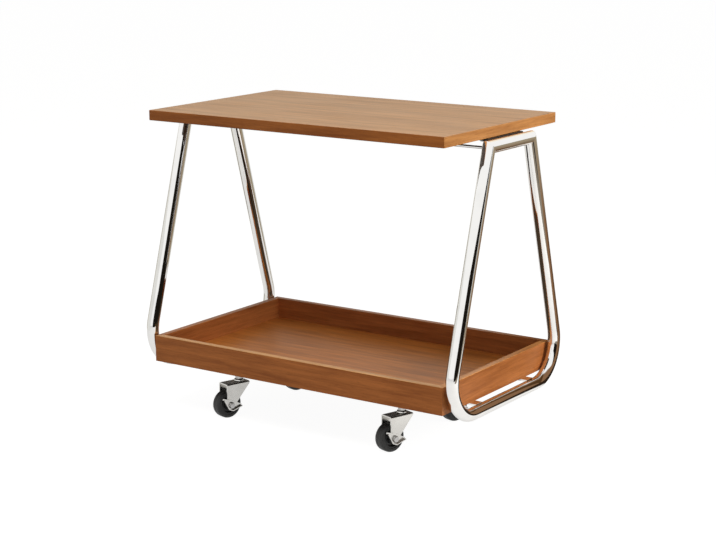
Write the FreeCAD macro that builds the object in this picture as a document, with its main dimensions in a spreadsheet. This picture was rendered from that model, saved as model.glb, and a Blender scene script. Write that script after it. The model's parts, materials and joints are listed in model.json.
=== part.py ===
import FreeCAD, Part
import math
import os
import re
import Sketcher
from FreeCAD import Placement, Rotation, Vector

# A rolling side table. A veneered top and a shallow tray are carried by two closed loops of bent tube,
# one at each end. Tabs on the loops carry the tray, and two rails under it take four braked swivel casters.
# X runs along the table, Y across it and Z up. The origin is on the floor below the table's middle.

# Driving sizes, in millimetres and degrees
SIZES = {
    # Table top
    "table_height": 550,
    "top_length": 600,
    "top_width": 370,
    "top_thickness": 18,
    "top_edge_radius": 1.2,
    # Tray, its four mitred walls and its floor board
    "tray_length": 600,
    "tray_width": 366,
    "tray_height": 47,
    "tray_wall": 12,
    "tray_floor_thickness": 9,
    "rabbet_depth": 6,
    "rim_radius": 1,
    "board_fit": 0.1,
    "spline_thickness": 3,
    "spline_width": 9,
    "spline_margin": 4,
    # Side frames, each a closed loop of round tube
    "tube_diameter": 22,
    "tube_wall": 1.5,
    "frame_gap": 2,
    "top_seat_gap": 0.3,
    "foot_bar_drop": 2,
    "shoulder_width": 136.8,
    "foot_flare": 26.4,
    "foot_bend_radius": 66,
    "vent_diameter": 4,
    "weld_gap": 0.2,
    # Rails under the tray
    "rail_inset": 78,
    "rail_setback": 65,
    "rail_width": 38,
    "rail_height": 19,
    "rail_wall": 1.5,
    # Tabs on the foot bars that carry the tray
    "tab_inset": 96,
    "tab_width": 20,
    "tab_lap": 26,
    "tab_thickness": 3,
    "tab_margin": 10,
    # Plates that carry the top
    "plate_length": 118,
    "plate_lap": 38,
    "plate_thickness": 3,
    "plate_margin": 9,
    # Tie rods between the loops
    "rod_diameter": 5,
    "rod_spacing": 104,
    "rod_drop": 4,
    # Wood screws
    "screw_diameter": 4,
    "screw_fit": 0.1,
    "screw_head_diameter": 8,
    "screw_head_height": 2.5,
    "top_screw_bite": 12,
    "tray_screw_bite": 7,
    "tray_screw_offset": 40,
    "driver_hole_diameter": 10,
    # Casters
    "caster_setback": 126.5,
    "caster_trail": 26.5,
    "trail_heading": 252,
    "neck_diameter": 13,
    "neck_length": 11.4,
    "stem_diameter": 10,
    "stem_length": 14,
    "stem_chamfer": 1,
    "stem_fit": 0.05,
    "nut_width": 17,
    "nut_height": 8,
    "kingpin_diameter": 8,
    "kingpin_head_diameter": 12.4,
    "kingpin_head_height": 1.5,
    "running_play": 0.1,
    "bearing_play": 0.05,
    "cup_diameter": 17.6,
    "cup_wall": 1.5,
    "cup_lift": 0.6,
    "ball_diameter": 3,
    "ball_circle_diameter": 11.6,
    # Forks
    "fork_sheet": 2,
    "fork_width": 26,
    "fork_headroom": 11,
    "fork_lead": 14.5,
    "fork_tail": 7,
    "fork_skirt": 1.5,
    "fork_eye_radius": 8,
    "fork_corner_radius": 6,
    "fork_fold_radius": 1.6,
    # Wheels and axles
    "wheel_diameter": 50,
    "tyre_width": 20,
    "tyre_depth": 7,
    "tyre_crown": 1.2,
    "tyre_shoulder": 3,
    "hub_boss_diameter": 18,
    "hub_web": 8,
    "hub_rim": 3,
    "hub_side_play": 0.3,
    "bush_wall": 1.2,
    "axle_diameter": 6,
    "axle_head_width": 10,
    "axle_head_height": 4,
    "axle_nut_height": 5,
    "axle_thread_end": 1.5,
    # Brake pedals
    "pedal_sheet": 1.5,
    "pedal_play": 0.3,
    "pedal_span": 42,
    "pedal_rise": 8.5,
    "pedal_tip": 7,
    "pedal_tip_height": 3,
    "pedal_drop": 9,
    "pedal_toe": 10,
    "pedal_ledge": 4.5,
    "pedal_corner_radius": 2.5,
    "pedal_rest_angle": 22,
}

# Places and sizes that follow from the driving sizes
PLACES = {
    "top_underside": "table_height - top_thickness",
    "fork_top": "wheel_diameter + fork_headroom + fork_sheet",
    "cup_roof": "fork_top + ball_diameter + running_play",
    "cup_top": "cup_roof + cup_wall",
    "rail_underside": "cup_top + neck_length",
    "tray_underside": "rail_underside + rail_height",
    "axle_level": "wheel_diameter / 2",
    "tube_radius": "tube_diameter / 2",
    "frame_plane": "tray_length / 2 + frame_gap + tube_radius",
    "top_bar_level": "top_underside - top_seat_gap - tube_radius",
    "foot_bar_level": "tray_underside - foot_bar_drop - tube_radius",
    "foot_width": "tray_width + foot_flare",
    "rail_spacing": "tray_width - 2 * rail_inset",
    "rail_length": "tray_length - 2 * rail_setback",
    "caster_spacing": "tray_length - 2 * caster_setback",
    "tab_inner_edge": "tray_length / 2 - tab_lap",
    "tab_line": "tray_width / 2 - tab_inset",
    "plate_level": "top_underside - plate_thickness",
    "plate_outer_edge": "frame_plane - sqrt((tube_radius + weld_gap)^2 - (plate_level - top_bar_level)^2)",
    "plate_inner_edge": "min(top_length / 2; plate_outer_edge) - plate_lap",
    "plate_screw_inner": "plate_inner_edge + plate_margin",
    "plate_screw_outer": "plate_inner_edge + plate_lap - plate_margin",
    "plate_screw_side": "plate_length / 2 - plate_margin",
    "tray_screw_place": "caster_spacing / 2 + tray_screw_offset",
    "screw_hole_radius": "screw_diameter / 2 + screw_fit",
    "kingpin_head_top": "fork_top - fork_sheet - running_play",
    "fork_rear_edge": "caster_trail + fork_tail",
    "pedal_inner_face": "fork_width / 2 + pedal_play",
    "axle_head_face": "pedal_inner_face + pedal_sheet + pedal_play",
    "bush_radius": "axle_diameter / 2 + bearing_play + bush_wall",
    "hub_half_width": "fork_width / 2 - fork_sheet - hub_side_play",
    "tyre_inner_radius": "wheel_diameter / 2 - tyre_depth",
}

# Counts, names and the slack of a comparison
TOUCHING = 1e-6
LEAST_CUT = 1e-3
BALLS = 10
FULL_TURN = 360
HEX_SIDES = 6
SIDES = (-1, 1)
SIDE_NAMES = {-1: "left", 1: "right"}
END_NAMES = {-1: "front", 1: "rear"}

doc = FreeCAD.newDocument("rolling_side_table")
pieces = []


def named(text, homes):
    """The expression text with each size or place name turned into a reference to its cell."""

    def reference(match):
        name = match[0]
        for home, table in homes:
            if name in table:
                return f"{home}{name}"
        raise KeyError(name)

    return re.sub(r"[a-z]+(?:_[a-z]+)+", reference, text)


def make_sheet(name, rows):
    """A sheet with one aliased cell a row."""
    sheet = doc.addObject("Spreadsheet::Sheet", name)
    for row, (alias, content) in enumerate(rows, start=1):
        sheet.set(f"A{row}", alias)
        sheet.set(f"B{row}", content)
        sheet.setAlias(f"B{row}", alias)
    doc.recompute()
    return sheet


sizes = make_sheet("Sizes", [(name, str(value)) for name, value in SIZES.items()])
own_homes = [("Sizes.", SIZES), ("", PLACES)]
places = make_sheet("Places", [(name, "=" + named(text, own_homes)) for name, text in PLACES.items()])


def number(name):
    """The present value of a size or place."""
    sheet = sizes if name in SIZES else places
    return float(sheet.get(name))


def bind(item, path, text):
    """Tie one property of an object to an expression in sizes and places."""
    item.setExpression(path, named(text, [("Sizes.", SIZES), ("Places.", PLACES)]))


def seat(item, x="0", y="0", z="0", turn=None):
    """Put an object at a bound place, turned by a fixed rotation."""
    item.Placement = Placement(Vector(), turn or Rotation())
    for axis, text in zip("xyz", (x, y, z)):
        bind(item, f"Placement.Base.{axis}", text)
    return item


def keep(item, label):
    """Give a finished piece its label and put it on the list of pieces."""
    item.Label = label
    pieces.append(item)
    return item


# Sketches and features

def new_body(label):
    return doc.addObject("PartDesign::Body", label)


def sketch_on(body, role):
    """An empty sketch on one of the body's own origin planes."""
    sketch = body.newObject("Sketcher::SketchObject", f"{body.Name}_sketch")
    plane = next(item for item in body.Origin.OriginFeatures if item.Role == role)
    sketch.AttachmentSupport = [(plane, "")]
    sketch.MapMode = "FlatFace"
    return sketch


def fix_point(sketch, geometry, position, x, y):
    """Tie one point of a sketch to bound distances from the sketch's origin."""
    point = sketch.getPoint(geometry, position)
    for kind, text, start in (("DistanceX", x, point.x), ("DistanceY", y, point.y)):
        index = sketch.addConstraint(Sketcher.Constraint(kind, -1, 1, geometry, position, start))
        bind(sketch, f"Constraints[{index}]", text)


def fix_radius(sketch, geometry, text):
    """Tie the radius of a circle or arc to an expression."""
    start = sketch.Geometry[geometry].Radius
    index = sketch.addConstraint(Sketcher.Constraint("Radius", geometry, start))
    bind(sketch, f"Constraints[{index}]", text)


def outline(sketch, points):
    """A closed outline of straight sides through bound points."""
    first = sketch.GeometryCount
    count = len(points)
    corners = [Vector(math.cos(turn), math.sin(turn), 0)
               for turn in (2 * math.pi * index / count for index in range(count))]
    for index in range(count):
        sketch.addGeometry(Part.LineSegment(corners[index], corners[(index + 1) % count]))
    for index in range(count):
        following = first + (index + 1) % count
        sketch.addConstraint(Sketcher.Constraint("Coincident", first + index, 2, following, 1))
    for index, (x, y) in enumerate(points):
        fix_point(sketch, first + index, 1, x, y)


def rectangle(sketch, low_x, low_y, high_x, high_y):
    """A closed rectangle between two bound corners."""
    outline(sketch, [(low_x, low_y), (high_x, low_y), (high_x, high_y), (low_x, high_y)])


def circle(sketch, x, y, radius):
    """A circle with a bound centre and radius."""
    index = sketch.addGeometry(Part.Circle(Vector(), Vector(0, 0, 1), 1))
    fix_point(sketch, index, 3, x, y)
    fix_radius(sketch, index, radius)


def hexagon(sketch, width):
    """A hexagon about the sketch's origin, with its distance across flats bound."""
    step = FULL_TURN / HEX_SIDES
    outline(sketch, [(f"{width} / sqrt(3) * cos({step * side})", f"{width} / sqrt(3) * sin({step * side})")
                     for side in range(HEX_SIDES)])


def pad(body, sketch, length, centred=False, backward=False):
    """Extrude a sketch by a bound length."""
    feature = body.newObject("PartDesign::Pad", f"{body.Name}_pad")
    feature.Profile = sketch
    feature.Midplane = centred
    feature.Reversed = backward
    bind(feature, "Length", length)
    return feature


def pocket(body, sketch, length=None, backward=False):
    """Cut a sketch's area away: to a bound depth, or right through on both sides."""
    feature = body.newObject("PartDesign::Pocket", f"{body.Name}_pocket")
    feature.Profile = sketch
    feature.Reversed = backward
    if length is None:
        feature.Type = "ThroughAll"
        feature.Midplane = True
    else:
        bind(feature, "Length", length)
    return feature


def fillet(body, base, radius, choose):
    """Round the edges of a feature that the choice picks out."""
    doc.recompute()
    names = [f"Edge{index}" for index, edge in enumerate(base.Shape.Edges, start=1) if choose(edge)]
    feature = body.newObject("PartDesign::Fillet", f"{body.Name}_fillet")
    feature.Base = (base, names)
    bind(feature, "Radius", radius)
    return feature


def runs_along(edge, axis):
    """Whether an edge is straight and parallel to an axis."""
    if not isinstance(edge.Curve, Part.Line):
        return False
    return abs(abs(edge.Curve.Direction.dot(axis)) - 1) < TOUCHING


def turned(label, role, points):
    """A body of revolution about the sketch's upright axis, through points of bound radius and height."""
    body = new_body(label)
    sketch = sketch_on(body, role)
    outline(sketch, points)
    feature = body.newObject("PartDesign::Revolution", f"{label}_turning")
    feature.Profile = sketch
    feature.ReferenceAxis = (sketch, ["V_Axis"])
    feature.Angle = FULL_TURN
    return body


def turned_both_ways(label, points):
    """A body of revolution about its own Y, from half of its section and the mirror image of that half."""
    mirrored = [(radius, f"-({height})") for radius, height in reversed(points)]
    return turned(label, "XY_Plane", points + mirrored)


def cylinder(radius, height, x="0", y="0", z="0"):
    """An upright cylinder of bound size and place."""
    item = doc.addObject("Part::Cylinder", "rod")
    bind(item, "Radius", radius)
    bind(item, "Height", height)
    return seat(item, x, y, z)


def joined(kind, base, tool, name):
    """A boolean of two objects."""
    item = doc.addObject(kind, name)
    item.Base = base
    item.Tool = tool
    return item


def group(items, label):
    """Separate solids that share one node."""
    item = doc.addObject("Part::Compound", label)
    item.Links = items
    return keep(item, label)


# Table top

def make_top():
    """The board, with pilot holes for the screws that come up through the plates."""
    body = new_body("top_panel")
    sketch = sketch_on(body, "XY_Plane")
    rectangle(sketch, "-top_length / 2", "-top_width / 2", "top_length / 2", "top_width / 2")
    board = pad(body, sketch, "top_thickness")
    fillet(body, board, "top_edge_radius", lambda edge: True)
    holes = sketch_on(body, "XY_Plane")
    for x, y in plate_screw_places():
        circle(holes, x, y, "screw_hole_radius")
    pocket(body, holes, "top_screw_bite + screw_fit", backward=True)
    seat(body, z="top_underside")
    keep(body, "top_panel")


def plate_screw_places():
    """The eight screws that hold the top, four to each plate."""
    return [(f"{end} * {row}", f"{side} * plate_screw_side")
            for end in SIDES for row in ("plate_screw_inner", "plate_screw_outer") for side in SIDES]


# Tray

def make_wall(label, length, distance, turn):
    """One mitred wall, with a rabbet for the floor board and a slot for the tongue at each end."""
    body = new_body(label)
    plan = sketch_on(body, "XY_Plane")
    outline(plan, [(f"-{length} / 2", "0"), (f"{length} / 2", "0"),
                   (f"{length} / 2 - tray_wall", "tray_wall"), (f"-{length} / 2 + tray_wall", "tray_wall")])
    board = pad(body, plan, "tray_height")
    rim = number("tray_height")
    fillet(body, board, "rim_radius",
           lambda edge: runs_along(edge, Vector(1, 0, 0)) and abs(edge.CenterOfMass.z - rim) < TOUCHING)
    rabbet = sketch_on(body, "XY_Plane")
    reach = f"{length} / 2"
    rectangle(rabbet, f"-{reach}", "tray_wall - rabbet_depth", reach, "tray_wall + rabbet_depth")
    pocket(body, rabbet, "tray_floor_thickness + board_fit", backward=True)
    slots = sketch_on(body, "XY_Plane")
    for end in SIDES:
        x = f"{end} * ({length} / 2 - tray_wall / 2)"
        outline(slots, spline_corners(x, "tray_wall / 2", end, "board_fit"))
    depth = "tray_height - spline_margin + board_fit"
    pocket(body, slots, depth, backward=True)
    seat(body, *distance, z="tray_underside", turn=Rotation(Vector(0, 0, 1), turn))
    keep(body, label)


def spline_corners(x, y, end, slack):
    """A rectangle square to the mitre through one point, as wide as the tongue and its slack."""
    half_width = f"(spline_width / 2 + {slack}) / sqrt(2)"
    half_thick = f"(spline_thickness / 2 + {slack}) / sqrt(2)"
    corners = []
    for along, across in ((-1, -1), (1, -1), (1, 1), (-1, 1)):
        corners.append((f"{x} + {end} * ({along} * {half_width} + {across} * {half_thick})",
                        f"{y} + {along} * {half_width} - {across} * {half_thick}"))
    return corners


def make_tray():
    """Four walls round a floor board, with a loose tongue in each mitre."""
    make_wall("tray_front_wall", "tray_length", ("0", "-tray_width / 2"), 0)
    make_wall("tray_right_wall", "tray_width", ("tray_length / 2", "0"), 90)
    make_wall("tray_rear_wall", "tray_length", ("0", "tray_width / 2"), 180)
    make_wall("tray_left_wall", "tray_width", ("-tray_length / 2", "0"), 270)

    body = new_body("tray_floor")
    sketch = sketch_on(body, "XY_Plane")
    inset = "tray_wall - rabbet_depth + board_fit"
    half_length = f"tray_length / 2 - ({inset})"
    half_width = f"tray_width / 2 - ({inset})"
    rectangle(sketch, f"-({half_length})", f"-({half_width})", half_length, half_width)
    pad(body, sketch, "tray_floor_thickness")
    holes = sketch_on(body, "XY_Plane")
    for spots in tray_screw_places():
        for x, y in spots:
            circle(holes, x, y, "screw_hole_radius")
    pocket(body, holes, "tray_screw_bite + screw_fit", backward=True)
    seat(body, z="tray_underside")
    keep(body, "tray_floor")

    tongues = []
    for end in SIDES:
        for side in SIDES:
            tongue = new_body("tongue")
            plan = sketch_on(tongue, "XY_Plane")
            outline(plan, spline_corners("0", "0", -end * side, "0"))
            pad(tongue, plan, "tray_height - spline_margin - tray_floor_thickness")
            x = f"{end} * (tray_length / 2 - tray_wall / 2)"
            y = f"{side} * (tray_width / 2 - tray_wall / 2)"
            seat(tongue, x, y, "tray_underside + tray_floor_thickness")
            tongues.append(tongue)
    group(tongues, "tray_corner_splines")


# Side frames

def loop_spine(body):
    """The loop's centre line, from the middle of the foot bar round by both legs and the mitred top bar."""
    sketch = sketch_on(body, "YZ_Plane")
    top, foot = number("top_bar_level"), number("foot_bar_level")
    half_top, half_foot = number("shoulder_width") / 2, number("foot_width") / 2
    foot_bend = number("foot_bend_radius")
    lean = math.atan2(half_foot - half_top, top - foot)
    foot_reach = foot_bend * math.tan((math.pi / 2 + lean) / 2)
    foot_end = Vector(half_foot - foot_reach, foot, 0)
    leg_low = Vector(half_foot, foot, 0) + Vector(-math.sin(lean), math.cos(lean), 0) * foot_reach
    shoulder = Vector(half_top, top, 0)

    def mirrored(point):
        return Vector(-point.x, point.y, 0)

    def bend(centre, start, end):
        return Part.ArcOfCircle(Part.Circle(centre, Vector(0, 0, 1), foot_bend), start, end)

    centre = foot_end + Vector(0, foot_bend, 0)
    middle = Vector(0, foot, 0)
    right_angle = math.pi / 2
    sketch.addGeometry([
        Part.LineSegment(middle, foot_end),
        bend(centre, -right_angle, lean),
        Part.LineSegment(leg_low, shoulder),
        Part.LineSegment(shoulder, mirrored(shoulder)),
        Part.LineSegment(mirrored(shoulder), mirrored(leg_low)),
        bend(mirrored(centre), math.pi - lean, math.pi + right_angle),
        Part.LineSegment(mirrored(foot_end), middle),
    ])
    foot_corner = sketch.addGeometry(Part.Point(Vector(half_foot, foot, 0)), True)
    for index in (0, 1, 4, 5):
        sketch.addConstraint(Sketcher.Constraint("Tangent", index, 2, index + 1, 1))
    sketch.addConstraint([
        Sketcher.Constraint("Coincident", 2, 2, 3, 1),
        Sketcher.Constraint("Coincident", 3, 2, 4, 1),
        Sketcher.Constraint("Coincident", 6, 2, 0, 1),
        Sketcher.Constraint("Horizontal", 0),
        Sketcher.Constraint("Symmetric", 0, 2, 6, 1, -2),
        Sketcher.Constraint("Symmetric", 3, 1, 3, 2, -2),
        Sketcher.Constraint("PointOnObject", foot_corner, 1, 2),
    ])
    fix_point(sketch, foot_corner, 1, "foot_width / 2", "foot_bar_level")
    fix_point(sketch, 3, 1, "shoulder_width / 2", "top_bar_level")
    fix_point(sketch, 0, 1, "0", "foot_bar_level")
    for index in (1, 5):
        fix_radius(sketch, index, "foot_bend_radius")
    return sketch


def make_loop(label, side, radius):
    """A solid bar of bound radius, swept along the centre line."""
    body = new_body(label)
    spine = loop_spine(body)
    profile = sketch_on(body, "XZ_Plane")
    circle(profile, "0", "foot_bar_level", radius)
    doc.recompute()
    sweep = body.newObject("PartDesign::AdditivePipe", f"{label}_sweep")
    sweep.Profile = profile
    sweep.Spine = (spine, [])
    sweep.Transition = "Right corner"
    return seat(body, f"{side} * frame_plane")


def make_frames():
    """The two tubes, each with a vent hole under its foot bar, and the shapes that cope what meets them."""
    copes = []
    for side in SIDES:
        label = f"{SIDE_NAMES[side]}_frame_tube"
        outside = make_loop(f"{label}_outside", side, "tube_radius")
        inside = make_loop(f"{label}_inside", side, "tube_radius - tube_wall")
        vent = cylinder("vent_diameter / 2", "foot_bar_level", f"{side} * frame_plane")
        tube = joined("Part::Cut", outside, inside, f"{label}_unvented")
        keep(joined("Part::Cut", tube, vent, label), label)
        copes.append(make_loop(f"{SIDE_NAMES[side]}_cope", side, "tube_radius + weld_gap"))
    return copes


def coped(body, copes, label):
    """A piece that runs from loop to loop, with its ends cut to sit against both tubes."""
    item = body
    for cope in copes:
        item = joined("Part::Cut", item, cope, f"{label}_coped")
    return keep(item, label)


# Rails, tabs, plates and tie rods

def make_rails():
    """Two box rails under the tray, with holes for the caster stems and for the tray's screws."""
    for end in SIDES:
        label = f"{END_NAMES[end]}_rail"
        body = new_body(label)
        section = sketch_on(body, "YZ_Plane")
        for wall in ("0", "rail_wall"):
            rectangle(section, f"-rail_width / 2 + {wall}", f"-rail_height / 2 + {wall}",
                      f"rail_width / 2 - {wall}", f"rail_height / 2 - {wall}")
        pad(body, section, "rail_length", centred=True)
        low = sketch_on(body, "XY_Plane")
        for side in SIDES:
            circle(low, f"{side} * caster_spacing / 2", "0", "stem_diameter / 2 + screw_fit")
        for x in rail_screw_places():
            circle(low, x, "0", "driver_hole_diameter / 2")
        pocket(body, low, "rail_height")
        high = sketch_on(body, "XY_Plane")
        for x in rail_screw_places():
            circle(high, x, "0", "screw_hole_radius")
        pocket(body, high, "rail_height", backward=True)
        seat(body, y=f"{end} * rail_spacing / 2", z="tray_underside - rail_height / 2")
        keep(body, label)


def rail_screw_places():
    """Where along a rail its three tray screws stand."""
    return ["-tray_screw_place", "0", "tray_screw_place"]


def tray_screw_places():
    """The screws from the rails, and then the one in each tab."""
    in_rails = [(x, f"{end} * rail_spacing / 2") for end in SIDES for x in rail_screw_places()]
    in_tabs = [(f"{side} * (tab_inner_edge + tab_margin)", f"{end} * tab_line") for side in SIDES for end in SIDES]
    return in_rails, in_tabs


def make_tabs(copes):
    """Four short tabs from the foot bars to the tray's underside, coped to the tube."""
    tabs = []
    for side, cope in zip(SIDES, copes):
        for end in SIDES:
            body = new_body("tab")
            sketch = sketch_on(body, "XY_Plane")
            rectangle(sketch, f"{side} * tab_inner_edge", f"{end} * tab_line - tab_width / 2",
                      f"{side} * frame_plane", f"{end} * tab_line + tab_width / 2")
            circle(sketch, f"{side} * (tab_inner_edge + tab_margin)", f"{end} * tab_line", "screw_hole_radius")
            pad(body, sketch, "tab_thickness")
            seat(body, z="tray_underside - tab_thickness")
            tabs.append(joined("Part::Cut", body, cope, "tab_coped"))
    group(tabs, "foot_tabs")


def make_plates():
    """The flat plates welded to the top bars, with four screw holes each."""
    for side in SIDES:
        label = f"{SIDE_NAMES[side]}_top_plate"
        body = new_body(label)
        sketch = sketch_on(body, "XY_Plane")
        rectangle(sketch, f"{side} * plate_inner_edge", "-plate_length / 2",
                  f"{side} * plate_outer_edge", "plate_length / 2")
        for row in ("plate_screw_inner", "plate_screw_outer"):
            for end in SIDES:
                circle(sketch, f"{side} * {row}", f"{end} * plate_screw_side", "screw_hole_radius")
        pad(body, sketch, "plate_thickness")
        seat(body, z="plate_level")
        keep(body, label)


def make_tie_rods(copes):
    """Two thin rods from top bar to top bar."""
    for end in SIDES:
        label = f"{END_NAMES[end]}_tie_rod"
        body = new_body(f"{label}_bar")
        section = sketch_on(body, "YZ_Plane")
        circle(section, "0", "0", "rod_diameter / 2")
        pad(body, section, "2 * frame_plane - tube_diameter / 2", centred=True)
        seat(body, y=f"{end} * rod_spacing / 2", z="top_bar_level - rod_drop")
        coped(body, copes, label)


def make_screws():
    """Pan-head screws: through the plates into the top, and from inside the rails and tabs into the tray."""
    in_rails, in_tabs = tray_screw_places()
    top_screws = make_screw_row(plate_screw_places(), "top_underside", "plate_thickness", "top_screw_bite")
    rail_screws = make_screw_row(in_rails, "tray_underside", "rail_wall", "tray_screw_bite")
    tab_screws = make_screw_row(in_tabs, "tray_underside", "tab_thickness", "tray_screw_bite")
    group(top_screws, "top_screws")
    group(rail_screws + tab_screws, "tray_screws")


def make_screw_row(spots, board_level, grip, bite):
    """Screws that clamp a sheet of some thickness under a board and bite into the board."""
    screws = []
    for x, y in spots:
        head_level = f"{board_level} - {grip} - screw_head_height"
        head = cylinder("screw_head_diameter / 2", "screw_head_height", x, y, head_level)
        shank = cylinder("screw_diameter / 2", f"{grip} + {bite}", x, y, f"{board_level} - {grip}")
        screws.append(joined("Part::Fuse", head, shank, "screw"))
    return screws


def make_rail_nuts():
    """Hexagon nuts welded inside the rails over the stem holes."""
    nuts = []
    for end in SIDES:
        for side in SIDES:
            body = new_body("rail_nut")
            sketch = sketch_on(body, "XY_Plane")
            hexagon(sketch, "nut_width")
            circle(sketch, "0", "0", "stem_diameter / 2 + stem_fit")
            pad(body, sketch, "nut_height")
            nuts.append(seat(body, f"{side} * caster_spacing / 2", f"{end} * rail_spacing / 2",
                             "rail_underside + rail_wall"))
    group(nuts, "rail_nuts")


# Casters. Each is modelled about its stem, trailing along its own X, with its axle along its own Y.

def make_stem(label):
    """The turned stem: kingpin head, kingpin, neck and threaded end."""
    return turned(label, "XZ_Plane", [
        ("0", "kingpin_head_top - kingpin_head_height"),
        ("kingpin_head_diameter / 2", "kingpin_head_top - kingpin_head_height"),
        ("kingpin_head_diameter / 2", "kingpin_head_top"),
        ("kingpin_diameter / 2", "kingpin_head_top"),
        ("kingpin_diameter / 2", "cup_top"),
        ("neck_diameter / 2", "cup_top"),
        ("neck_diameter / 2", "rail_underside"),
        ("stem_diameter / 2", "rail_underside"),
        ("stem_diameter / 2", "rail_underside + stem_length - stem_chamfer"),
        ("stem_diameter / 2 - stem_chamfer", "rail_underside + stem_length"),
        ("0", "rail_underside + stem_length"),
    ])


def make_race_cup(label):
    """The pressed cup that covers the ball race and is held by the stem."""
    return turned(label, "XZ_Plane", [
        ("kingpin_diameter / 2 + stem_fit", "cup_roof"),
        ("cup_diameter / 2 - cup_wall", "cup_roof"),
        ("cup_diameter / 2 - cup_wall", "fork_top + cup_lift"),
        ("cup_diameter / 2", "fork_top + cup_lift"),
        ("cup_diameter / 2", "cup_roof"),
        ("cup_diameter / 2 - cup_wall", "cup_top"),
        ("kingpin_diameter / 2 + stem_fit", "cup_top"),
    ])


def make_race_balls(label):
    """The ring of balls that carries the cup on the fork."""
    balls = []
    for index in range(BALLS):
        ball = doc.addObject("Part::Sphere", "ball")
        bind(ball, "Radius", "ball_diameter / 2")
        turn = FULL_TURN * index / BALLS
        balls.append(seat(ball, f"ball_circle_diameter / 2 * cos({turn})",
                          f"ball_circle_diameter / 2 * sin({turn})", "fork_top + ball_diameter / 2"))
    item = doc.addObject("Part::Compound", label)
    item.Links = balls
    return item


def make_fork(label):
    """The folded fork: a flat crown with two cheeks that taper to the axle."""
    body = new_body(label)
    side = sketch_on(body, "XZ_Plane")
    eye_low = "axle_level - fork_eye_radius"
    outline(side, [
        ("-fork_lead", "fork_top"),
        ("-fork_lead", "fork_top - fork_sheet - fork_skirt"),
        ("caster_trail - fork_eye_radius", eye_low),
        ("caster_trail + fork_eye_radius", eye_low),
        ("caster_trail + fork_eye_radius", "axle_level"),
        ("fork_rear_edge", "fork_top"),
    ])
    block = pad(body, side, "fork_width", centred=True)
    low = number("axle_level")
    across = Vector(0, 1, 0)
    rounded = fillet(body, block, "fork_corner_radius",
                     lambda edge: runs_along(edge, across) and edge.CenterOfMass.z < low - TOUCHING)
    top, half = number("fork_top"), number("fork_width") / 2
    fillet(body, rounded, "fork_fold_radius",
           lambda edge: runs_along(edge, Vector(1, 0, 0)) and abs(edge.CenterOfMass.z - top) < TOUCHING
           and abs(abs(edge.CenterOfMass.y) - half) < TOUCHING)
    inside = sketch_on(body, "YZ_Plane")
    half_inside = "fork_width / 2 - fork_sheet"
    rectangle(inside, f"-({half_inside})", "0", half_inside, "fork_top - fork_sheet")
    pocket(body, inside)
    eye = sketch_on(body, "XZ_Plane")
    circle(eye, "caster_trail", "axle_level", "axle_diameter / 2 + bearing_play")
    pocket(body, eye)
    pivot = sketch_on(body, "XY_Plane")
    circle(pivot, "0", "0", "kingpin_diameter / 2 + bearing_play")
    pocket(body, pivot)
    return body


def make_axle_bolt(label):
    """The axle: a hexagon head outside the pedal and a shank right through the fork."""
    body = new_body(label)
    head = sketch_on(body, "XZ_Plane")
    hexagon(head, "axle_head_width")
    bolt_end = "-(fork_width / 2 + axle_nut_height + axle_thread_end)"
    shank = sketch_on(body, "XZ_Plane")
    circle(shank, "0", "0", "axle_diameter / 2")
    for sketch, level in ((head, "axle_head_face"), (shank, bolt_end)):
        bind(sketch, "AttachmentOffset.Base.z", f"-({level})")
    pad(body, shank, f"axle_head_face - ({bolt_end})", backward=True)
    pad(body, head, "axle_head_height", backward=True)
    return body


def make_axle_nut(label):
    """The nut on the axle's far end."""
    body = new_body(label)
    sketch = sketch_on(body, "XZ_Plane")
    bind(sketch, "AttachmentOffset.Base.z", "fork_width / 2")
    hexagon(sketch, "axle_head_width")
    circle(sketch, "0", "0", "axle_diameter / 2 + stem_fit")
    pad(body, sketch, "axle_nut_height")
    return body


def make_wheel_bush(label):
    """The plain steel bush in the hub."""
    return turned_both_ways(label, [
        ("axle_diameter / 2 + bearing_play", "hub_half_width"),
        ("bush_radius", "hub_half_width"),
    ])


def make_wheel_hub(label):
    """The moulded hub: a boss, a web and a rim that carries the tyre."""
    boss = "hub_boss_diameter / 2"
    rim = "tyre_inner_radius - hub_rim"
    rim_face = "tyre_width / 2 - tyre_crown"
    return turned_both_ways(label, [
        ("bush_radius + stem_fit", "hub_half_width"),
        (boss, "hub_half_width"),
        (boss, "hub_web / 2"),
        (rim, "hub_web / 2"),
        (rim, rim_face),
        ("tyre_inner_radius", rim_face),
    ])


def make_tyre(label):
    """The tyre: a tread with rounded shoulders on the hub's rim."""
    tread = "wheel_diameter / 2"
    return turned_both_ways(label, [
        ("tyre_inner_radius + stem_fit", "tyre_width / 2"),
        (f"{tread} - tyre_shoulder", "tyre_width / 2"),
        (f"{tread} - tyre_crown", "tyre_width / 2 - tyre_crown"),
        (tread, "tyre_width / 2 - tyre_shoulder"),
    ])


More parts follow.
